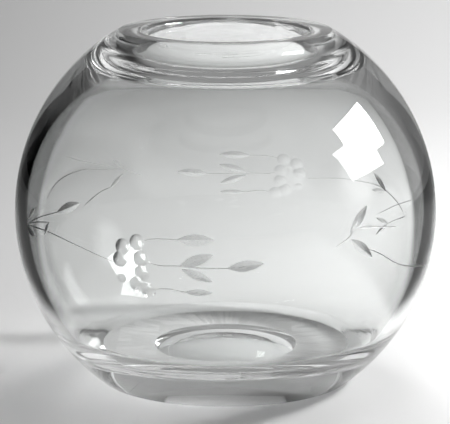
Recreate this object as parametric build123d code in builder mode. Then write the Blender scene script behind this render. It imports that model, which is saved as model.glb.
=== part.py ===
from build123d import *
import math
import os

os.makedirs("parts", exist_ok=True)

# Lengths are in millimetres. The origin is the middle of the foot, and +Z points up through the mouth.

# Outside: a ball of glass, cut off flat at the foot and at the rim
body_radius = 76.2
foot_radius = 45.65
rim_radius = 38.1
foot_round = 1.2

# Inside: a wall that thickens upwards from the ball's middle to a tight shoulder and a short upright neck
wall = 4.6
floor_thickness = 14.5
floor_round = 18.0
shoulder_radius = 16.0
shoulder_reach = 37.0
neck_round = 10.0
neck_height = 2.3
rim_width = 8.1

# Lip: the flat rim's two polished edges
lip_round_outside = 1.2
lip_round_inside = 1.5

# Foot: the polished hollow where the glass was broken off the rod
pontil_radius = 26.0
pontil_depth = 7.5

# Stone wheels that cut the decoration: one with a V-shaped edge in two sizes, and one with a round edge
leaf_wheel_radius = 60.0
bud_wheel_radius = 20.0
wheel_half_width = 4.0
mitre_angle = 73.0
berry_wheel_radius = 5.3
berry_radius = 2.8
small_berry_radius = 1.7

# Levels and radii that follow from these
centre_level = math.sqrt(body_radius**2 - foot_radius**2)
rim_level = centre_level + math.sqrt(body_radius**2 - rim_radius**2)
hollow_radius = body_radius - wall
mouth_radius = rim_radius - rim_width
neck_level = rim_level - lip_round_inside - neck_height
neck_reach = mouth_radius + neck_round
shoulder_gap = neck_reach - shoulder_reach
shoulder_level = neck_level - math.sqrt((shoulder_radius + neck_round) ** 2 - shoulder_gap**2)

# The decoration, as degrees round the ball and up it, from the middle of each bunch of berries
berry_places = [(-2.7, 4.2), (1.4, 5.7), (-3.5, 0.8), (2.5, 1.5), (2.7, -2.3), (1.1, -5.4), (4.2, -6.8)]
small_berry_places = [(-3.2, -4.2)]

# Leaves of a spray beside its berries, each from its root to its tip
spray_leaves = [
    ((11.9, 6.9), (21.6, 7.2)),
    ((12.7, 0.2), (21.5, 3.4)),
    ((13.2, -0.6), (21.3, -3.7)),
    ((24.9, -0.1), (34.3, 1.0)),
    ((13.8, -6.7), (21.3, -6.7)),
]

# Leaves of the vines that run from each bunch of berries to the next, which differ from side to side
front_leaves = [
    ((-25.6, 10.0), (-17.0, 13.7)),
    ((58.3, 6.9), (64.5, 13.3)),
    ((58.5, 5.3), (65.9, -0.5)),
    ((66.6, 7.5), (61.2, 7.9)),
]
back_leaves = [
    ((-37.5, -2.4), (-32.0, 3.4)),
    ((-37.5, -2.4), (-30.4, -2.8)),
    ((-40.3, -13.0), (-33.6, -12.0)),
    ((-40.3, -13.0), (-35.1, -17.8)),
    ((51.9, 2.9), (56.5, 6.9)),
    ((52.1, 1.3), (56.8, -3.5)),
]
front_buds = [
    ((-28.9, 6.9), (-31.0, 3.1)),
    ((-40.3, 6.2), (-37.0, 9.2)),
    ((-41.7, 3.8), (-36.3, 1.9)),
]

# Azimuth and latitude of the two bunches of berries, on opposite sides of the ball
front_bunch = (245.5, -3.0)
back_bunch = (70.5, 3.5)


def way_out(place, bunch):
    """Direction from the ball's centre to a place that is given from a bunch's middle."""
    azimuth = bunch[0] + place[0]
    latitude = bunch[1] + place[1]
    return Vector(1, 0, 0).rotate(Axis.Y, -latitude).rotate(Axis.Z, azimuth)


def cut_depth(half_length, wheel_radius):
    """How deep a wheel goes into the ball where it leaves a cut of this half length."""
    return half_length**2 * (1 / wheel_radius + 1 / body_radius) / 2


def leaf_wheel_place(leaf, bunch, wheel_radius):
    """Where the wheel's hub stands to cut a leaf: its axle lies across the leaf, above the leaf's middle."""
    root = way_out(leaf[0], bunch)
    tip = way_out(leaf[1], bunch)
    middle = (root + tip).normalized()
    along = (tip - root).normalized()
    half_length = body_radius * (tip - root).length / 2
    hub_distance = body_radius + wheel_radius - cut_depth(half_length, wheel_radius)
    hub = Vector(0, 0, centre_level) + middle * hub_distance
    return Plane(origin=hub, x_dir=along, z_dir=middle.cross(along)).location


def berry_wheel_place(place, bunch, radius):
    """Where the round-edged wheel stands to cut a berry of this radius."""
    hub_distance = body_radius + berry_wheel_radius - cut_depth(radius, berry_wheel_radius)
    return Location(Vector(0, 0, centre_level) + way_out(place, bunch) * hub_distance)


def half_section():
    """Half of the bowl cut down its middle: the foot, the outside, the lip, the neck and the inside."""
    upright = centre_level - floor_thickness
    floor_reach = math.sqrt(hollow_radius**2 - upright**2)
    inward = hollow_radius - shoulder_reach
    upward = shoulder_level - centre_level
    upper_radius = (inward**2 + upward**2 - shoulder_radius**2) / (inward - shoulder_radius) / 2
    upper_centre = Vector(hollow_radius - upper_radius, centre_level)
    shoulder_centre = Vector(shoulder_reach, shoulder_level)
    neck_centre = Vector(neck_reach, neck_level)
    upper_end = shoulder_centre + (shoulder_centre - upper_centre).normalized() * shoulder_radius
    shoulder_end = shoulder_centre + (neck_centre - shoulder_centre).normalized() * shoulder_radius
    pontil_ball = (pontil_radius**2 + pontil_depth**2) / pontil_depth / 2
    with BuildSketch(Plane.XZ) as section:
        with BuildLine():
            RadiusArc((0, pontil_depth), (pontil_radius, 0), pontil_ball)
            Line((pontil_radius, 0), (foot_radius, 0))
            RadiusArc((foot_radius, 0), (body_radius, centre_level), -body_radius)
            RadiusArc((body_radius, centre_level), (rim_radius, rim_level), -body_radius)
            Polyline((rim_radius, rim_level), (mouth_radius, rim_level), (mouth_radius, neck_level))
            RadiusArc((mouth_radius, neck_level), shoulder_end, -neck_round)
            RadiusArc(shoulder_end, upper_end, shoulder_radius)
            RadiusArc(upper_end, (hollow_radius, centre_level), upper_radius)
            RadiusArc((hollow_radius, centre_level), (floor_reach, floor_thickness), hollow_radius)
            Polyline((floor_reach, floor_thickness), (0, floor_thickness), (0, pontil_depth))
        make_face()
        for reach, level, radius in (
            (foot_radius, 0, foot_round),
            (rim_radius, rim_level, lip_round_outside),
            (mouth_radius, rim_level, lip_round_inside),
            (floor_reach, floor_thickness, floor_round),
        ):
            corner = section.vertices().sort_by_distance((reach, level, 0))[0]
            fillet(corner, radius)
    return section.sketch


leaf_wheels = []
bud_wheels = []
berry_wheels = []
for bunch, leaves, buds in (
    (front_bunch, spray_leaves + front_leaves, front_buds),
    (back_bunch, spray_leaves + back_leaves, []),
):
    leaf_wheels += [leaf_wheel_place(leaf, bunch, leaf_wheel_radius) for leaf in leaves]
    bud_wheels += [leaf_wheel_place(bud, bunch, bud_wheel_radius) for bud in buds]
    berry_wheels += [berry_wheel_place(place, bunch, berry_radius) for place in berry_places]
    berry_wheels += [berry_wheel_place(place, bunch, small_berry_radius) for place in small_berry_places]
edge_drop = wheel_half_width / math.tan(math.radians(mitre_angle))
from_hub = (Align.CENTER, Align.CENTER, Align.MIN)

with BuildPart() as glass_bowl:
    add(half_section())
    revolve(axis=Axis.Z)
    for wheels, radius in ((leaf_wheels, leaf_wheel_radius), (bud_wheels, bud_wheel_radius)):
        for turn in (0, 180):
            with Locations(*[wheel * Rotation(turn, 0, 0) for wheel in wheels]):
                Cone(radius, radius - edge_drop, wheel_half_width, align=from_hub, mode=Mode.SUBTRACT)
    with Locations(*berry_wheels):
        Sphere(berry_wheel_radius, mode=Mode.SUBTRACT)

glass_bowl.part.label = "glass_bowl"
export_step(glass_bowl.part, "parts/glass_bowl.step")
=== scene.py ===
import math

import bpy
import numpy as np
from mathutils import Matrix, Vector
from mathutils.geometry import delaunay_2d_cdt


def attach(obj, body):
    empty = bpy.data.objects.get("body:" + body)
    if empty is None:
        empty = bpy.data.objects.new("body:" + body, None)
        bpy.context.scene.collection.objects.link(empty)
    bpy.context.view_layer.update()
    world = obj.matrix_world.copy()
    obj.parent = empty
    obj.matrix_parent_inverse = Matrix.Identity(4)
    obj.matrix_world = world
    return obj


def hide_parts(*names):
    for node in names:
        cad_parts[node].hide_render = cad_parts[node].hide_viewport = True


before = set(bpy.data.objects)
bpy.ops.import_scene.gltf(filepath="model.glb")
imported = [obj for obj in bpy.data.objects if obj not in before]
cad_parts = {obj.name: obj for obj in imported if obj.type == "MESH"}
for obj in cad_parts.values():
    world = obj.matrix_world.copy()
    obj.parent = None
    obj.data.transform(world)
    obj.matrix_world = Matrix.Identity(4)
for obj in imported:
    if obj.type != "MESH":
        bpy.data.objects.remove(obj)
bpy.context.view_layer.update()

MM = 0.001

# Sizes in millimetres, the same as the solid's
BODY_RADIUS = 76.2
FOOT_RADIUS = 45.65
RIM_RADIUS = 38.1
FOOT_ROUND = 1.2
WALL = 4.6
FLOOR_THICKNESS = 14.5
FLOOR_ROUND = 18.0
SHOULDER_RADIUS = 16.0
SHOULDER_REACH = 37.0
NECK_ROUND = 10.0
NECK_HEIGHT = 2.3
RIM_WIDTH = 8.1
LIP_ROUND_OUTSIDE = 1.2
LIP_ROUND_INSIDE = 1.5
PONTIL_RADIUS = 26.0
PONTIL_DEPTH = 7.5
PONTIL_ROUND = 0.3
HOLLOW_RADIUS = BODY_RADIUS - WALL
MOUTH_RADIUS = RIM_RADIUS - RIM_WIDTH
FOOT_DROP = math.sqrt(BODY_RADIUS**2 - FOOT_RADIUS**2)
HEIGHT = FOOT_DROP + math.sqrt(BODY_RADIUS**2 - RIM_RADIUS**2)

# The stone wheels that cut the decoration
LEAF_WHEEL_RADIUS = 60.0
BUD_WHEEL_RADIUS = 20.0
MITRE_ANGLE = 73.0
BERRY_WHEEL_RADIUS = 5.3
BERRY_RADIUS = 2.8
SMALL_BERRY_RADIUS = 1.7

# Fineness of the mesh: steps round the bowl, and the longest step along its outline, by length and by turn
TURN_STEPS = 256
TURN_STEP = 360 / TURN_STEPS
OUTLINE_STEP = 1.9
ROUND_STEP = 12.0

# The cut decoration lies between these two latitudes of the ball, in degrees
BAND_LOW = -26.0
BAND_HIGH = 22.0
BAND_ROWS = 34

# Places in the bowl's list of materials
CLEAR_GLASS, LEAF_GLASS, BERRY_GLASS, FOOT_GLASS = range(4)

# Camera
CAMERA_DISTANCE = 1000.0
CAMERA_PITCH = 11.8
PICTURE_WIDTH, PICTURE_HEIGHT = 450, 424
BALL_CENTRE_X, BALL_CENTRE_Y, BALL_RADIUS_PIXELS = 225.5, 210.0, 211.0


def make_camera():
    """The photograph's view: the ball's outline and its rim fix the distance, the pitch and the framing."""
    pitch = math.radians(CAMERA_PITCH)
    focal_pixels = BALL_RADIUS_PIXELS / math.tan(math.asin(BODY_RADIUS / CAMERA_DISTANCE))
    data = bpy.data.cameras.new("camera")
    data.sensor_fit = "HORIZONTAL"
    data.sensor_width = 36.0
    data.lens = data.sensor_width * focal_pixels / PICTURE_WIDTH
    data.shift_x = -(BALL_CENTRE_X - PICTURE_WIDTH / 2) / PICTURE_WIDTH
    data.shift_y = (BALL_CENTRE_Y - PICTURE_HEIGHT / 2) / PICTURE_WIDTH
    data.clip_start = 0.01
    camera = bpy.data.objects.new("camera", data)
    distance = CAMERA_DISTANCE * MM
    camera.location = (0, -distance * math.cos(pitch), FOOT_DROP * MM + distance * math.sin(pitch))
    camera.rotation_euler = (math.pi / 2 - pitch, 0, 0)
    bpy.context.scene.collection.objects.link(camera)
    bpy.context.scene.camera = camera


# The bowl's outline, as runs of points (reach from the axis, height) with their normals
def arc_run(centre, radius, start, end, hollow=False):
    """Points on an arc between two angles in degrees. The glass lies outside the arc where it is hollow."""
    turn = abs(end - start)
    steps = max(2, math.ceil(turn / ROUND_STEP), math.ceil(math.radians(turn) * radius / OUTLINE_STEP))
    side = -1 if hollow else 1
    run = []
    for angle in np.radians(np.linspace(start, end, steps + 1)):
        way = np.array((math.cos(angle), math.sin(angle)))
        run.append((np.array(centre) + radius * way, side * way))
    return run


def line_run(start, end, normal):
    """The two ends of a straight stretch."""
    return [(np.array(point, float), np.array(normal, float)) for point in (start, end)]


def angle_to(centre, point):
    """The angle in degrees at which a point lies from a centre."""
    return math.degrees(math.atan2(point[1] - centre[1], point[0] - centre[0]))


# The number of the run, among those of the foot, that the bowl stands on
FOOT_RING_RUN = 2


def foot_runs():
    """The ground hollow under the foot, the ring that the bowl stands on and its edge."""
    ball = (PONTIL_RADIUS**2 + PONTIL_DEPTH**2) / 2 / PONTIL_DEPTH
    ball_level = PONTIL_DEPTH - ball
    ring_inside = math.sqrt((ball + PONTIL_ROUND) ** 2 - (PONTIL_ROUND - ball_level) ** 2)
    edge = math.sqrt((BODY_RADIUS - FOOT_ROUND) ** 2 - (FOOT_DROP - FOOT_ROUND) ** 2)
    turn = angle_to((0, ball_level), (ring_inside, PONTIL_ROUND))
    meet = angle_to((0, FOOT_DROP), (edge, FOOT_ROUND))
    return [
        arc_run((0, ball_level), ball, 90, turn, hollow=True),
        arc_run((ring_inside, PONTIL_ROUND), PONTIL_ROUND, turn + 180, 270),
        line_run((ring_inside, 0), (edge, 0), (0, -1)),
        arc_run((edge, FOOT_ROUND), FOOT_ROUND, -90, meet),
        arc_run((0, FOOT_DROP), BODY_RADIUS, meet, BAND_LOW),
    ]


def upper_runs():
    """Above the decoration: shoulder, lip, neck, the hollow's shoulder and wall, and the floor."""
    lip = math.sqrt((BODY_RADIUS - LIP_ROUND_OUTSIDE) ** 2 - (HEIGHT - LIP_ROUND_OUTSIDE - FOOT_DROP) ** 2)
    lip_centre = (lip, HEIGHT - LIP_ROUND_OUTSIDE)
    lip_meet = angle_to((0, FOOT_DROP), lip_centre)
    inner_lip = (MOUTH_RADIUS + LIP_ROUND_INSIDE, HEIGHT - LIP_ROUND_INSIDE)
    neck = (MOUTH_RADIUS + NECK_ROUND, HEIGHT - LIP_ROUND_INSIDE - NECK_HEIGHT)
    rise = math.sqrt((SHOULDER_RADIUS + NECK_ROUND) ** 2 - (neck[0] - SHOULDER_REACH) ** 2)
    shoulder = (SHOULDER_REACH, neck[1] - rise)
    inward, upward = HOLLOW_RADIUS - shoulder[0], shoulder[1] - FOOT_DROP
    upper_radius = (inward**2 + upward**2 - SHOULDER_RADIUS**2) / (inward - SHOULDER_RADIUS) / 2
    upper = (HOLLOW_RADIUS - upper_radius, FOOT_DROP)
    neck_meet = angle_to(shoulder, neck)
    upper_meet = angle_to(upper, shoulder)
    floor_drop = FOOT_DROP - FLOOR_THICKNESS - FLOOR_ROUND
    floor_reach = math.sqrt((HOLLOW_RADIUS - FLOOR_ROUND) ** 2 - floor_drop**2)
    floor_corner = (floor_reach, FLOOR_THICKNESS + FLOOR_ROUND)
    floor_meet = angle_to((0, FOOT_DROP), floor_corner)
    return [
        arc_run((0, FOOT_DROP), BODY_RADIUS, BAND_HIGH, lip_meet),
        arc_run(lip_centre, LIP_ROUND_OUTSIDE, lip_meet, 90),
        line_run((lip, HEIGHT), (inner_lip[0], HEIGHT), (0, 1)),
        arc_run(inner_lip, LIP_ROUND_INSIDE, 90, 180),
        line_run((MOUTH_RADIUS, inner_lip[1]), (MOUTH_RADIUS, neck[1]), (-1, 0)),
        arc_run(neck, NECK_ROUND, 180, neck_meet + 180),
        arc_run(shoulder, SHOULDER_RADIUS, neck_meet, upper_meet, hollow=True),
        arc_run(upper, upper_radius, upper_meet, 0, hollow=True),
        arc_run((0, FOOT_DROP), HOLLOW_RADIUS, 0, floor_meet, hollow=True),
        arc_run(floor_corner, FLOOR_ROUND, floor_meet, -90, hollow=True),
        line_run((floor_reach, FLOOR_THICKNESS), (0, FLOOR_THICKNESS), (0, 1)),
    ]


# Stems are fine V-shaped grooves, in millimetres, that taper to a share of their size over their ends
STEM_HALF_WIDTH = 0.24
STEM_DEPTH = 0.11
STEM_END_SHARE = 0.35
STEM_TAPER = 8

# The cut decoration: degrees round the ball and up it, from the middle of each bunch of berries
BERRY_PLACES = [(-2.7, 4.2), (1.4, 5.7), (-3.5, 0.8), (2.5, 1.5), (2.7, -2.3), (1.1, -5.4), (4.2, -6.8)]
SMALL_BERRY_PLACES = [(-3.2, -4.2)]

# Leaves, each from its root to its tip
SPRAY_LEAVES = [
    ((11.9, 6.9), (21.6, 7.2)),
    ((12.7, 0.2), (21.5, 3.4)),
    ((13.2, -0.6), (21.3, -3.7)),
    ((24.9, -0.1), (34.3, 1.0)),
    ((13.8, -6.7), (21.3, -6.7)),
]
FRONT_LEAVES = [
    ((-25.6, 10.0), (-17.0, 13.7)),
    ((58.3, 6.9), (64.5, 13.3)),
    ((58.5, 5.3), (65.9, -0.5)),
    ((66.6, 7.5), (61.2, 7.9)),
]
BACK_LEAVES = [
    ((-37.5, -2.4), (-32.0, 3.4)),
    ((-37.5, -2.4), (-30.4, -2.8)),
    ((-40.3, -13.0), (-33.6, -12.0)),
    ((-40.3, -13.0), (-35.1, -17.8)),
    ((51.9, 2.9), (56.5, 6.9)),
    ((52.1, 1.3), (56.8, -3.5)),
]
FRONT_BUDS = [
    ((-28.9, 6.9), (-31.0, 3.1)),
    ((-40.3, 6.2), (-37.0, 9.2)),
    ((-41.7, 3.8), (-36.3, 1.9)),
]

# Stems, each through a few points
SPRAY_STEMS = [
    [(3.0, 6.2), (7.0, 6.9), (11.9, 6.9), (14.5, 7.0)],
    [(4.4, 0.6), (8.0, 0.0), (12.7, 0.2), (17.0, -0.1), (24.9, -0.1), (27.0, 0.1)],
    [(6.0, -6.4), (9.5, -6.1), (13.8, -6.7), (15.5, -6.7)],
]
FRONT_STEMS = [
    [(-5.3, -0.2), (-16.2, 2.4), (-28.8, 4.3), (-41.7, 4.1)],
    [(-41.7, 4.1), (-33.0, 7.6), (-25.6, 10.0), (-23.0, 11.4)],
    [(-41.7, 4.1), (-36.0, 5.6), (-28.9, 6.9)],
    [(-41.7, 4.1), (-40.3, 6.2)],
    [(53.9, 3.8), (58.0, 5.9), (59.2, 7.7)],
    [(75.1, 6.2), (70.5, 6.8), (66.6, 7.5), (65.0, 7.6)],
    [(64.2, 2.0), (68.7, 0.0), (75.7, -3.7), (83.4, -6.0), (95.8, -8.3)],
]
BACK_STEMS = [
    [
        (-6.5, -1.0), (-17.5, -0.1), (-24.8, -0.3), (-32.5, -0.7),
        (-37.8, -2.2), (-46.0, -5.9), (-50.3, -8.8),
    ],
    [(-33.6, -10.9), (-43.8, -6.3), (-55.6, -2.6)],
    [(-40.3, -13.0), (-45.0, -11.0), (-51.0, -8.9)],
    [(46.2, 0.4), (51.6, 2.7), (52.6, 3.5)],
    [(56.6, -3.3), (60.8, -4.6), (67.6, -8.5)],
    [(52.4, 2.9), (63.1, 3.8), (70.6, 4.1), (80.7, 1.8), (88.6, -3.2)],
    [(52.4, 3.1), (66.9, 6.9), (78.5, 10.3)],
]

# Azimuth and latitude of the two bunches, with each one's leaves, buds and stems
HALVES = [
    ((245.5, -3.0), SPRAY_LEAVES + FRONT_LEAVES, FRONT_BUDS, SPRAY_STEMS + FRONT_STEMS),
    ((70.5, 3.5), SPRAY_LEAVES + BACK_LEAVES, [], SPRAY_STEMS + BACK_STEMS),
]


def directions(places):
    """Unit vectors from the ball's centre for rows of (azimuth, latitude) in degrees."""
    turn = np.radians(np.asarray(places, float).reshape(-1, 2))
    level = np.cos(turn[:, 1])
    return np.stack([level * np.cos(turn[:, 0]), level * np.sin(turn[:, 0]), np.sin(turn[:, 1])], 1)


def places_of(ways):
    """The (azimuth, latitude) in degrees of rows of vectors."""
    ways = np.asarray(ways)
    reach = np.hypot(ways[:, 0], ways[:, 1])
    azimuth = np.degrees(np.arctan2(ways[:, 1], ways[:, 0])) % 360
    return np.stack([azimuth, np.degrees(np.arctan2(ways[:, 2], reach))], 1)


def cut_depth(half_length, wheel_radius):
    """How deep a wheel goes into the ball where it leaves a cut of this half length."""
    return half_length**2 * (1 / wheel_radius + 1 / BODY_RADIUS) / 2


# Cosines of the angle from a cut within which a spot is on its side of the ball, and near enough to be cut
SAME_SIDE_COSINE = 0.9
REACH_COSINE = 0.985


class Cut:
    """One wheel cut: how deep it goes below the ball's skin, and which way that depth falls off."""

    material = LEAF_GLASS

    def frame_at(self, middle, along):
        """Three directions: out through the cut's middle, along the cut and across it."""
        self.middle = middle / np.linalg.norm(middle)
        along = along - self.middle * (along @ self.middle)
        self.along = along / np.linalg.norm(along)
        self.across = np.cross(self.middle, self.along)

    def local(self, ways):
        """Millimetres along and across the cut, and whether the point is on the cut's side of the ball."""
        same_side = ways @ self.middle > SAME_SIDE_COSINE
        return BODY_RADIUS * ways @ self.along, BODY_RADIUS * ways @ self.across, same_side

    def world(self, along, across):
        """Unit vectors for points given in millimetres along and across the cut."""
        s, t = np.asarray(along) / BODY_RADIUS, np.asarray(across) / BODY_RADIUS
        up = np.sqrt(np.maximum(1 - s * s - t * t, 0))
        return up[:, None] * self.middle + s[:, None] * self.along + t[:, None] * self.across


class Leaf(Cut):
    """A mitre cut: a wheel with a V-shaped edge leaves two slopes that meet in a vein."""

    POINTS = 14

    def __init__(self, root, tip, wheel_radius):
        ends = directions([root, tip])
        self.frame_at(ends[0] + ends[1], ends[1] - ends[0])
        self.half_length = BODY_RADIUS * np.linalg.norm(ends[1] - ends[0]) / 2
        self.depth_here = cut_depth(self.half_length, wheel_radius)
        self.half_width = self.depth_here * math.tan(math.radians(MITRE_ANGLE))

    def depth(self, ways):
        """How deep the leaf is at each direction, below zero outside it, and the side of the vein."""
        s, t, near = self.local(ways)
        swell = 1 - (s / self.half_length) ** 2
        value = self.depth_here * (swell - np.abs(t) / self.half_width)
        return np.where(near & (swell > 0), value, -1.0), np.sign(t)

    def slope(self, ways, side):
        """How fast the depth changes, as a vector."""
        s, _t, _near = self.local(ways)
        per_s = -2 * self.depth_here * s / self.half_length**2
        per_t = -side * self.depth_here / self.half_width
        return per_s[:, None] * self.along + per_t[:, None] * self.across

    def lines(self):
        """Both edges and the vein."""
        s = np.linspace(-1, 1, self.POINTS + 1)
        swell = 1 - s * s
        reach = s * self.half_length
        return [self.world(reach, k * self.half_width * swell) for k in (-1, 0, 1)]


class Berry(Cut):
    """A punty: the wheel's round edge leaves a shallow bowl."""

    POINTS = 28
    RING_SHARES = (1.0, 0.72, 0.4)
    material = BERRY_GLASS

    def __init__(self, place, radius):
        way = directions([place])[0]
        self.frame_at(way, np.array((0, 0, 1.0)))
        self.radius = radius
        self.depth_here = cut_depth(radius, BERRY_WHEEL_RADIUS)

    def depth(self, ways):
        """How deep the berry is at each direction, below zero outside it. It has no sides to tell apart."""
        s, t, near = self.local(ways)
        value = self.depth_here * (1 - (s * s + t * t) / self.radius**2)
        return np.where(near, value, -1.0), np.ones(len(ways))

    def slope(self, ways, side):
        """How fast the depth changes, as a vector."""
        s, t, _near = self.local(ways)
        fall = -2 * self.depth_here / self.radius**2
        return fall * (s[:, None] * self.along + t[:, None] * self.across)

    def lines(self):
        """The berry's edge, and rings inside it."""
        turn = np.linspace(0, 2 * math.pi, self.POINTS + 1)
        radii = [share * self.radius for share in self.RING_SHARES]
        return [self.world(radius * np.cos(turn), radius * np.sin(turn)) for radius in radii]


class Stem(Cut):
    """One short stretch of a fine V-shaped groove."""

    OVERLAP_SHARE = 1.02

    def __init__(self, start, end, swell):
        self.frame_at(start + end, end - start)
        self.half_length = BODY_RADIUS * np.linalg.norm(end - start) / 2
        self.half_width = STEM_HALF_WIDTH * swell
        self.depth_here = STEM_DEPTH * swell

    def depth(self, ways):
        """How deep the groove is at each direction, below zero outside it, and its side."""
        s, t, near = self.local(ways)
        value = self.depth_here * (1 - np.abs(t) / self.half_width)
        within = np.abs(s) <= self.half_length * self.OVERLAP_SHARE
        return np.where(near & within, value, -1.0), np.sign(t)

    def slope(self, ways, side):
        """How fast the depth changes, as a vector."""
        per_t = -side * self.depth_here / self.half_width
        return per_t[:, None] * self.across[None, :] * np.ones((len(ways), 1))


STRETCHES_PER_SPAN = 7


def smooth_path(points):
    """A smooth curve through the points, as many short stretches."""
    p = np.asarray(points, float)
    p = np.concatenate([[2 * p[0] - p[1]], p, [2 * p[-1] - p[-2]]])
    out = []
    for a, b, c, d in zip(p[:-3], p[1:-2], p[2:-1], p[3:]):
        for t in np.linspace(0, 1, STRETCHES_PER_SPAN, endpoint=False):
            place = 2 * b + (c - a) * t
            place = place + (2 * a - 5 * b + 4 * c - d) * t * t
            place = place + (3 * b - a - 3 * c + d) * t**3
            out.append(0.5 * place)
    out.append(p[-2])
    return np.array(out)


def stem_cuts(points):
    """A stem's stretches, thinner towards both ends, and the lines that bound them."""
    path = smooth_path(points)
    ways = directions(path)
    share = np.linspace(0, 1, len(ways))
    swell = np.clip(np.minimum(share, 1 - share) * STEM_TAPER, STEM_END_SHARE, 1.0)
    cuts = [Stem(a, b, (u + v) / 2) for a, b, u, v in zip(ways[:-1], ways[1:], swell[:-1], swell[1:])]
    run = np.gradient(ways, axis=0)
    across = np.cross(ways, run)
    across /= np.linalg.norm(across, axis=1)[:, None]
    offset = (swell * STEM_HALF_WIDTH / BODY_RADIUS)[:, None]
    return cuts, [ways - across * offset, ways, ways + across * offset]


def placed(bunch, places):
    """Places that are given from a bunch's middle, as azimuths and latitudes."""
    return [(bunch[0] + azimuth, bunch[1] + latitude) for azimuth, latitude in places]


def decoration():
    """Every cut and every line that the mesh has to follow."""
    cuts, lines = [], []
    for bunch, leaves, buds, stems in HALVES:
        shapes = [Berry(place, BERRY_RADIUS) for place in placed(bunch, BERRY_PLACES)]
        shapes += [Berry(place, SMALL_BERRY_RADIUS) for place in placed(bunch, SMALL_BERRY_PLACES)]
        shapes += [Leaf(*placed(bunch, ends), LEAF_WHEEL_RADIUS) for ends in leaves]
        shapes += [Leaf(*placed(bunch, ends), BUD_WHEEL_RADIUS) for ends in buds]
        cuts += shapes
        for shape in shapes:
            lines += shape.lines()
        for points in stems:
            pieces, edges = stem_cuts(placed(bunch, points))
            cuts += pieces
            lines += edges
    return cuts, lines


class Mesh:
    """Gathers points and faces, with each face's material and each corner's normal and place in its cut."""

    def __init__(self):
        self.points, self.faces, self.normals, self.materials, self.places = [], [], [], [], []
        self.count = 0

    def add_points(self, rows):
        """Adds points and returns the number of the first."""
        first = self.count
        self.points.append(np.asarray(rows))
        self.count += len(rows)
        return first

    def add_face(self, corners, normals, material, places=None):
        """Adds a face. Only a face of a cut has places."""
        self.faces.append(corners)
        self.normals.append(normals)
        self.materials.append(material)
        self.places.append(places if places is not None else [(0.0, 0.0)] * len(corners))


# Points of the outline that lie closer than this, in millimetres, are the same
SAME_PLACE = 1e-6

# A ring of the mesh is given by the number of its first point, and by whether it is one point on the axis
TURNS = np.linspace(0, 2 * math.pi, TURN_STEPS, endpoint=False)
ROUND = np.stack([np.cos(TURNS), np.sin(TURNS)], 1)


def ring_points(reach, level):
    """A ring of points round the axis."""
    return np.column_stack([ROUND * reach, np.full(TURN_STEPS, level)])


def turned(mesh, runs, first_ring=None, ground_run=None):
    """Turns the runs about the axis, one of them in the foot's ground glass. Returns the last ring."""
    previous = None
    previous_ring = first_ring
    for number, run in enumerate(runs):
        material = FOOT_GLASS if number == ground_run else CLEAR_GLASS
        for point, normal in run:
            if previous is not None and np.allclose(point, previous[0], atol=SAME_PLACE):
                previous = (point, normal)
                continue
            if point[0] < SAME_PLACE:
                ring = (mesh.add_points([(0, 0, point[1])]), True)
            elif previous is None and previous_ring is not None:
                ring = previous_ring
            else:
                ring = (mesh.add_points(ring_points(*point)), False)
            if previous is not None:
                strip(mesh, previous_ring, ring, previous[1], normal, material)
            previous, previous_ring = (point, normal), ring
    return previous_ring


def round_normal(normal, j):
    """An outline's normal, turned to the ring's point of this number."""
    return (ROUND[j, 0] * normal[0], ROUND[j, 1] * normal[0], normal[1])


def strip(mesh, a, b, normal_a, normal_b, material):
    """Faces between two rings, either of which may be the single point on the axis."""
    for j in range(TURN_STEPS):
        k = (j + 1) % TURN_STEPS
        if a[1]:
            corners = (a[0], b[0] + k, b[0] + j)
            normals = [(0, 0, normal_a[1]), round_normal(normal_b, k), round_normal(normal_b, j)]
        elif b[1]:
            corners = (a[0] + j, a[0] + k, b[0])
            normals = [round_normal(normal_a, j), round_normal(normal_a, k), (0, 0, normal_b[1])]
        else:
            corners = (a[0] + j, a[0] + k, b[0] + k, b[0] + j)
            normals = [round_normal(normal_a, j), round_normal(normal_a, k)]
            normals += [round_normal(normal_b, k), round_normal(normal_b, j)]
        mesh.add_face(corners, normals, material)


# Closeness in degrees: of spots that are one in the flat plan, and of a spot to the edge that it lies on
PLAN_TOLERANCE = 1e-5
EDGE_TOLERANCE = 1e-3
EDGE_DIGITS = 3

# A cut shallower than this, in millimetres, is left as polished glass
LEAST_DEPTH = 1e-4


def band_plan(lines):
    """The band laid out flat in degrees: its spots and triangles, whose edges follow every cut's lines."""
    plane, edges = [], []
    for row in np.linspace(BAND_LOW, BAND_HIGH, BAND_ROWS + 1):
        plane += [Vector((j * TURN_STEP, row)) for j in range(TURN_STEPS + 1)]
    wide = TURN_STEPS + 1
    last = BAND_ROWS * wide
    edges += [(j, j + 1) for j in range(TURN_STEPS)]
    edges += [(last + j, last + j + 1) for j in range(TURN_STEPS)]
    edges += [(k * wide, (k + 1) * wide) for k in range(BAND_ROWS)]
    edges += [(k * wide + TURN_STEPS, (k + 1) * wide + TURN_STEPS) for k in range(BAND_ROWS)]
    for line in lines:
        start = len(plane)
        plane += [Vector(p) for p in places_of(line)]
        edges += [(start + i, start + i + 1) for i in range(len(line) - 1)]
    flat, _edges, triangles = delaunay_2d_cdt(plane, edges, [], 0, PLAN_TOLERANCE)[:3]
    return np.array([tuple(v) for v in flat]), np.array(triangles)


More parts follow.
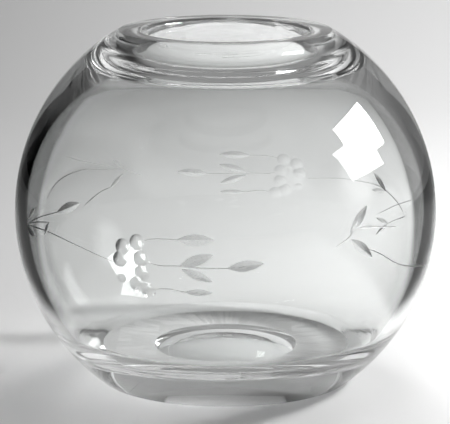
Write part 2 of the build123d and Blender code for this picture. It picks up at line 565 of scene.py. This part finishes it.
def sink_cuts(cuts, ways, middles):
    """How deep each spot is cut, and for each triangle's middle the deepest cut's number and side."""
    sunk = np.zeros(len(ways))
    deepest = np.full(len(middles), LEAST_DEPTH)
    owner = np.full(len(middles), -1)
    sides = np.zeros(len(middles))
    for number, cut in enumerate(cuts):
        near = np.nonzero(ways @ cut.middle > REACH_COSINE)[0]
        value, _side = cut.depth(ways[near])
        sunk[near] = np.maximum(sunk[near], value)
        near = np.nonzero(middles @ cut.middle > REACH_COSINE)[0]
        value, side = cut.depth(middles[near])
        better = value > deepest[near]
        deepest[near[better]] = value[better]
        owner[near[better]] = number
        sides[near[better]] = side[better]
    return sunk, owner, sides


def cut_band(mesh, low_ring, high_ring):
    """The ball's skin between the two latitudes, meshed along the edges of every cut and sunk into it."""
    cuts, lines = decoration()
    spots, triangles = band_plan(lines)
    ways = directions(spots)
    middles = ways[triangles].mean(1)
    middles /= np.linalg.norm(middles, axis=1)[:, None]
    sunk, owner, sides = sink_cuts(cuts, ways, middles)

    centre = np.array((0, 0, FOOT_DROP))
    index = np.full(len(ways), -1)
    column = np.round(spots[:, 0] / TURN_STEP).astype(int) % TURN_STEPS
    on_low = np.abs(spots[:, 1] - BAND_LOW) < EDGE_TOLERANCE
    on_high = np.abs(spots[:, 1] - BAND_HIGH) < EDGE_TOLERANCE
    index[on_low] = low_ring[0] + column[on_low]
    index[on_high] = high_ring[0] + column[on_high]
    seam = ~on_low & ~on_high & (spots[:, 0] > 360 - EDGE_TOLERANCE)
    free = np.nonzero((index < 0) & ~seam)[0]
    skin = centre + ways[free] * (BODY_RADIUS - sunk[free])[:, None]
    index[free] = mesh.add_points(skin) + np.arange(len(free))
    levels = [round(level, EDGE_DIGITS) for level in spots[:, 1]]
    seam_start = {levels[i]: index[i] for i in free if spots[i, 0] < EDGE_TOLERANCE}
    for i in np.nonzero(seam)[0]:
        index[i] = seam_start[levels[i]]

    for number in range(-1, len(cuts)):
        for triangle, side in zip(triangles[owner == number], sides[owner == number]):
            corners = tuple(int(index[i]) for i in triangle)
            if len(set(corners)) < 3:
                continue
            here = ways[triangle]
            if number < 0:
                mesh.add_face(corners, [tuple(n) for n in here], CLEAR_GLASS)
                continue
            cut = cuts[number]
            normals = here + cut.slope(here, np.full(3, side))
            normals /= np.linalg.norm(normals, axis=1)[:, None]
            s, t, _near = cut.local(here)
            mesh.add_face(corners, [tuple(n) for n in normals], cut.material, list(zip(s, t)))


def make_bowl():
    """The bowl as one closed mesh, with each corner's true normal."""
    mesh = Mesh()
    low_ring = turned(mesh, foot_runs(), ground_run=FOOT_RING_RUN)
    upper = upper_runs()
    high_ring = (mesh.add_points(ring_points(*upper[0][0][0])), False)
    cut_band(mesh, low_ring, high_ring)
    turned(mesh, upper, first_ring=high_ring)

    data = bpy.data.meshes.new("bowl")
    data.from_pydata(np.concatenate(mesh.points) * MM, [], mesh.faces)
    data.polygons.foreach_set("material_index", mesh.materials)
    data.polygons.foreach_set("use_smooth", [True] * len(mesh.faces))
    layer = data.uv_layers.new(name="cut")
    spots = [spot for places in mesh.places for spot in places]
    layer.data.foreach_set("uv", np.array(spots, np.float32).ravel())
    data.normals_split_custom_set([n for normals in mesh.normals for n in normals])
    data.update()
    bowl = bpy.data.objects.new("bowl", data)
    bpy.context.scene.collection.objects.link(bowl)
    data.materials.append(clear_glass())
    data.materials.append(cut_glass("leaf", LEAF_ROUGHNESS, GLASS_IOR))
    data.materials.append(cut_glass("berry", BERRY_ROUGHNESS, BERRY_IOR))
    data.materials.append(foot_glass())
    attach(bowl, "root")
    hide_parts("glass_bowl")


# Materials. The berries' index is one of looks, which gives them the soft pale face of ground glass
GLASS_COLOUR = (0.97, 0.98, 0.975, 1.0)
GLASS_IOR = 1.52
BERRY_IOR = 1.22
LEAF_ROUGHNESS = 0.3
BERRY_ROUGHNESS = 0.22
FOOT_ROUGHNESS = 0.1

# The share of a lamp's light that passes: it falls to none between these slants, and varies up the bowl
SHADOW_SLANTS = (0.4, 0.72)
SHADOW_SHARES = [(0.0, 0.8), (0.68, 1.0), (0.76, 0.3)]

# At the foot's ring it is above one, for the light that the thick floor gathers onto the table
FOOT_SHADOW_SHARES = [(0.0, 1.8), (1.0, 1.8)]

# The faint waviness of blown work: waves to the metre, strength and depth in metres
WAVE_SCALE = 16.0
WAVE_STRENGTH = 0.06
WAVE_DEPTH = 0.00025

# The stone's scratches: how fine they are along and across a cut, and the spread of roughness they leave
SCRATCH_STRETCH = (0.35, 7.0, 1.0)
SCRATCH_STRENGTH = 0.5
SCRATCH_DEPTH = 0.00004
SCRATCH_NOISE = (0.3, 0.7)
SCRATCH_SHARES = (0.7, 1.3)

# Wear of the foot's ring
WEAR_SCALE = 900.0
WEAR_NOISE = (0.35, 0.75)
WEAR_ROUGHNESS = (0.02, 0.3)


def add_node(tree, kind, values):
    """A new node with these values at its inputs."""
    node = tree.nodes.new(kind)
    for key, value in values.items():
        node.inputs[key].default_value = value
    return node


def add_range(tree, source, start, end):
    """A node that takes a source's values from one range to another."""
    values = {"From Min": start[0], "From Max": start[1], "To Min": end[0], "To Max": end[1]}
    node = add_node(tree, "ShaderNodeMapRange", values)
    tree.links.new(source, node.inputs["Value"])
    return node


def add_noise(tree, source, scale, detail):
    """Noise over a source of places."""
    node = add_node(tree, "ShaderNodeTexNoise", {"Scale": scale, "Detail": detail})
    tree.links.new(source, node.inputs["Vector"])
    return node.outputs["Fac"]


def add_bump(tree, shader, height, strength, depth):
    """Makes the shader's surface rise and fall with a height."""
    node = add_node(tree, "ShaderNodeBump", {"Strength": strength, "Distance": depth})
    tree.links.new(height, node.inputs["Height"])
    tree.links.new(node.outputs["Normal"], shader.inputs["Normal"])


def vary_roughness(tree, shader, source, start, end):
    """Makes the shader's roughness follow a source."""
    spread = add_range(tree, source, start, end)
    tree.links.new(spread.outputs["Result"], shader.inputs["Roughness"])


def glass_nodes(name, roughness, shares=SHADOW_SHARES):
    """Glass whose shadow is light with a dark edge: it lets lamps through but where it is steep."""
    material = bpy.data.materials.new(name)
    material.use_nodes = True
    tree = material.node_tree
    shader = tree.nodes["Principled BSDF"]
    shader.inputs["Base Color"].default_value = GLASS_COLOUR
    shader.inputs["Transmission Weight"].default_value = 1.0
    shader.inputs["IOR"].default_value = GLASS_IOR
    shader.inputs["Roughness"].default_value = roughness

    slant = tree.nodes.new("ShaderNodeLayerWeight")
    by_slant = add_range(tree, slant.outputs["Facing"], SHADOW_SLANTS, (1.0, 0.0))
    place = tree.nodes.new("ShaderNodeTexCoord")
    parts = tree.nodes.new("ShaderNodeSeparateXYZ")
    tree.links.new(place.outputs["Object"], parts.inputs["Vector"])
    rise = add_range(tree, parts.outputs["Z"], (0.0, HEIGHT * MM), (0.0, 1.0))
    ramp = tree.nodes.new("ShaderNodeValToRGB")
    while len(ramp.color_ramp.elements) < len(shares):
        ramp.color_ramp.elements.new(0.5)
    for element, (height_share, share) in zip(ramp.color_ramp.elements, shares):
        element.position = height_share
        element.color = (share, share, share, 1.0)
    tree.links.new(rise.outputs["Result"], ramp.inputs["Fac"])
    both = tree.nodes.new("ShaderNodeMath")
    both.operation = "MULTIPLY"
    tree.links.new(ramp.outputs["Color"], both.inputs[0])
    tree.links.new(by_slant.outputs["Result"], both.inputs[1])

    clear = tree.nodes.new("ShaderNodeBsdfTransparent")
    tree.links.new(both.outputs["Value"], clear.inputs["Color"])
    path = tree.nodes.new("ShaderNodeLightPath")
    mix = tree.nodes.new("ShaderNodeMixShader")
    tree.links.new(path.outputs["Is Shadow Ray"], mix.inputs["Fac"])
    tree.links.new(shader.outputs["BSDF"], mix.inputs[1])
    tree.links.new(clear.outputs["BSDF"], mix.inputs[2])
    tree.links.new(mix.outputs["Shader"], tree.nodes["Material Output"].inputs["Surface"])
    return material, tree, shader


def clear_glass():
    """Polished glass, with the faint waviness of blown work."""
    material, tree, shader = glass_nodes("clear_glass", 0.0)
    place = tree.nodes.new("ShaderNodeTexCoord")
    noise = add_noise(tree, place.outputs["Object"], WAVE_SCALE, detail=1.0)
    add_bump(tree, shader, noise, WAVE_STRENGTH, WAVE_DEPTH)
    return material


def cut_glass(name, roughness, index):
    """Unpolished wheel cuts: satin, with the stone's fine scratches along the cut."""
    material, tree, shader = glass_nodes(name, roughness)
    shader.inputs["IOR"].default_value = index
    place = tree.nodes.new("ShaderNodeUVMap")
    place.uv_map = "cut"
    stretch = add_node(tree, "ShaderNodeMapping", {"Scale": SCRATCH_STRETCH})
    tree.links.new(place.outputs["UV"], stretch.inputs["Vector"])
    noise = add_noise(tree, stretch.outputs["Vector"], 1.0, detail=3.0)
    add_bump(tree, shader, noise, SCRATCH_STRENGTH, SCRATCH_DEPTH)
    vary_roughness(tree, shader, noise, SCRATCH_NOISE, [roughness * share for share in SCRATCH_SHARES])
    return material


def foot_glass():
    """The ring that the bowl stands on: ground flat, then dulled by use."""
    material, tree, shader = glass_nodes("foot_glass", FOOT_ROUGHNESS, FOOT_SHADOW_SHARES)
    place = tree.nodes.new("ShaderNodeTexCoord")
    noise = add_noise(tree, place.outputs["Object"], WEAR_SCALE, detail=4.0)
    vary_roughness(tree, shader, noise, WEAR_NOISE, WEAR_ROUGHNESS)
    return material


# Studio, in metres: pale paper under and behind the bowl, on a table that fades into the dark at both sides
PAPER_LEFT, PAPER_RIGHT = -0.1, 0.102
PAPER_BACK, PAPER_TOP = 0.95, 0.36
PAPER_BEND = 0.35
TABLE_SIZE = 1.5

# How far the paper's pale part spreads for each metre towards the back or the front
PAPER_SPREAD_BACK = 0.2
PAPER_SPREAD_FRONT = 1.4

# The width over which its edge fades, and what each metre towards the front adds to that
PAPER_EDGE = 0.02
PAPER_EDGE_FRONT = 0.6

# Tones between 0 and 1: in the middle, the change for each metre to the right and to the back, and limits.
# The change is painted light, which makes the paper and the backdrop paler to the right and darker towards
# the back, as if more light fell from the right
PAPER_TONE = 0.75
PAPER_PAINTED_LIGHT_SLOPE = (1.15, -0.1)
PAPER_TONE_LIMITS = (0.45, 0.9)
TABLE_TONE = 0.06
PAPER_ROUGHNESS = 0.9
PAPER_SHINE = 0.1

# The ground's grid, which is fine out to this distance from the middle
FINE_REACH = 0.6
FINE_STEPS = 240
COARSE_STEPS = 24
BEND_STEPS = 24
PAPER_STEPS = 40


def tone_and_painted_light_at(x, y):
    """How pale the paper or the table is at a place, between 0 and 1, with painted light that makes the
    paper paler to the right and darker towards the back.
    """
    front = np.maximum(-y, 0)
    spread = PAPER_SPREAD_BACK * np.maximum(y, 0) + PAPER_SPREAD_FRONT * front
    inside = np.minimum(x - PAPER_LEFT + spread, PAPER_RIGHT + spread - x)
    share = np.clip(inside / (PAPER_EDGE + PAPER_EDGE_FRONT * front), 0, 1)
    share = share * share * (3 - 2 * share)
    # Painted light: the paper's tone rises to the right and falls towards the back, in place of light from
    # the right
    pale = np.clip(PAPER_TONE + PAPER_PAINTED_LIGHT_SLOPE[0] * x + PAPER_PAINTED_LIGHT_SLOPE[1] * y, *PAPER_TONE_LIMITS)
    return TABLE_TONE + (pale - TABLE_TONE) * share


def make_ground(name, across, along):
    """A sheet from its x values and its lines, which each have a y, a z and a factor for the x values."""
    points = [(x * widen, y, z) for y, z, widen in along for x in across]
    wide = len(across)
    faces = []
    for k in range(len(along) - 1):
        for i in range(wide - 1):
            corner = k * wide + i
            faces.append((corner, corner + 1, corner + wide + 1, corner + wide))
    data = bpy.data.meshes.new(name)
    data.from_pydata(points, [], faces)
    data.polygons.foreach_set("use_smooth", [True] * len(faces))
    places = np.array(points)
    # The tone is the paper's or the table's colour, with painted light on the paper
    tone_and_painted_light = data.attributes.new("tone_and_painted_light", "FLOAT", "POINT")
    tone_and_painted_light.data.foreach_set("value", tone_and_painted_light_at(places[:, 0], places[:, 1]))
    ground = bpy.data.objects.new(name, data)
    bpy.context.scene.collection.objects.link(ground)
    material = bpy.data.materials.new(name)
    material.use_nodes = True
    tree = material.node_tree
    shader = tree.nodes["Principled BSDF"]
    shader.inputs["Roughness"].default_value = PAPER_ROUGHNESS
    shader.inputs["Specular IOR Level"].default_value = PAPER_SHINE
    shade = tree.nodes.new("ShaderNodeAttribute")
    shade.attribute_name = "tone_and_painted_light"
    tree.links.new(shade.outputs["Fac"], shader.inputs["Base Color"])
    data.materials.append(material)


def make_studio_floor():
    """The level ground, and the strip of paper that bends up from it behind the bowl."""
    near = np.linspace(-FINE_REACH, FINE_REACH, FINE_STEPS + 1)
    far = np.linspace(FINE_REACH, TABLE_SIZE, COARSE_STEPS + 1)[1:]
    lines = np.concatenate([-far[::-1], near, far])
    make_ground("table", lines, [(y, 0.0, 1.0) for y in lines])
    side = []
    for angle in np.radians(np.linspace(-90, 0, BEND_STEPS + 1)):
        bend = PAPER_BEND * math.cos(angle)
        side.append((PAPER_BACK - PAPER_BEND + bend, PAPER_BEND + PAPER_BEND * math.sin(angle)))
    side.append((PAPER_BACK, PAPER_TOP))
    half = (PAPER_RIGHT - PAPER_LEFT) / 2
    run = [(y, z, half + PAPER_SPREAD_BACK * y) for y, z in side]
    make_ground("backdrop", np.linspace(-1, 1, PAPER_STEPS + 1), run)


# The room's light, and its patches: turn, rise, inner and outer radius in degrees, and the light they add
ROOM_LIGHT = 0.27
ROOM_PATCHES = [
    (122, 3, 18, 38, -0.27),
    (66, 6, 8, 22, -0.16),
    (30, 5, 8, 24, 0.3),
    (-8, 18, 4, 15, 1.8),
]


def way_to(turn, rise):
    """A unit vector from the bowl to a place in the room, by its turn and its rise in degrees."""
    turn, rise = math.radians(turn), math.radians(rise)
    return Vector((math.cos(rise) * math.cos(turn), math.cos(rise) * math.sin(turn), math.sin(rise)))


def make_world():
    """The dim room round the paper, dark beyond the paper's left edge and lighter on the right."""
    world = bpy.data.worlds.new("room")
    bpy.context.scene.world = world
    world.use_nodes = True
    tree = world.node_tree
    back = tree.nodes["Background"]
    back.inputs["Color"].default_value = (1, 1, 1, 1)
    place = tree.nodes.new("ShaderNodeTexCoord")
    light = None
    for turn, rise, inner, outer, strength in ROOM_PATCHES:
        near = add_node(tree, "ShaderNodeVectorMath", {1: way_to(turn, rise)})
        near.operation = "DOT_PRODUCT"
        tree.links.new(place.outputs["Generated"], near.inputs[0])
        cosines = (math.cos(math.radians(outer)), math.cos(math.radians(inner)))
        patch = add_range(tree, near.outputs["Value"], cosines, (0.0, strength))
        patch.interpolation_type = "SMOOTHSTEP"
        total = add_node(tree, "ShaderNodeMath", {1: ROOM_LIGHT})
        tree.links.new(patch.outputs["Result"], total.inputs[0])
        if light is not None:
            tree.links.new(light, total.inputs[1])
        light = total.outputs["Value"]
    tree.links.new(light, back.inputs["Strength"])


# Lamps: turn and rise in degrees, distance and size in metres, power, and whether it shows in the glass
LAMPS = {
    "window": (-6, 31, 0.25, (0.112, 0.074), 0.75, True),
    "key": (20, 31, 0.65, (0.1, 0.1), 3.9, False),
    "top": (0, 82, 1.2, (0.2, 0.2), 1.2, False),
    "fill": (85, 48, 1.5, (0.5, 0.5), 6.7, False),
}


def make_lamp(name, turn, rise, distance, size, power, mirrored):
    """A soft box that points at the bowl. It only shows in the glass, or it only lights the ground."""
    way = way_to(turn, rise)
    data = bpy.data.lights.new(name, "AREA")
    data.shape = "RECTANGLE"
    data.size, data.size_y = size
    data.energy = power
    lamp = bpy.data.objects.new(name, data)
    lamp.location = Vector((0, 0, FOOT_DROP * MM)) + way * distance
    lamp.visible_glossy = mirrored
    lamp.visible_transmission = mirrored
    lamp.visible_diffuse = not mirrored
    lamp.rotation_euler = way.to_track_quat("Z", "Y").to_euler()
    bpy.context.scene.collection.objects.link(lamp)


make_camera()
make_bowl()
make_studio_floor()
make_world()
for lamp_name, lamp_values in LAMPS.items():
    make_lamp(lamp_name, *lamp_values)
bpy.context.scene.view_settings.view_transform = "Standard"

# Light turns back inside the thick glass many times before it comes out
bpy.context.scene.cycles.max_bounces = 32
bpy.context.scene.cycles.glossy_bounces = 24
bpy.context.scene.cycles.transmission_bounces = 24
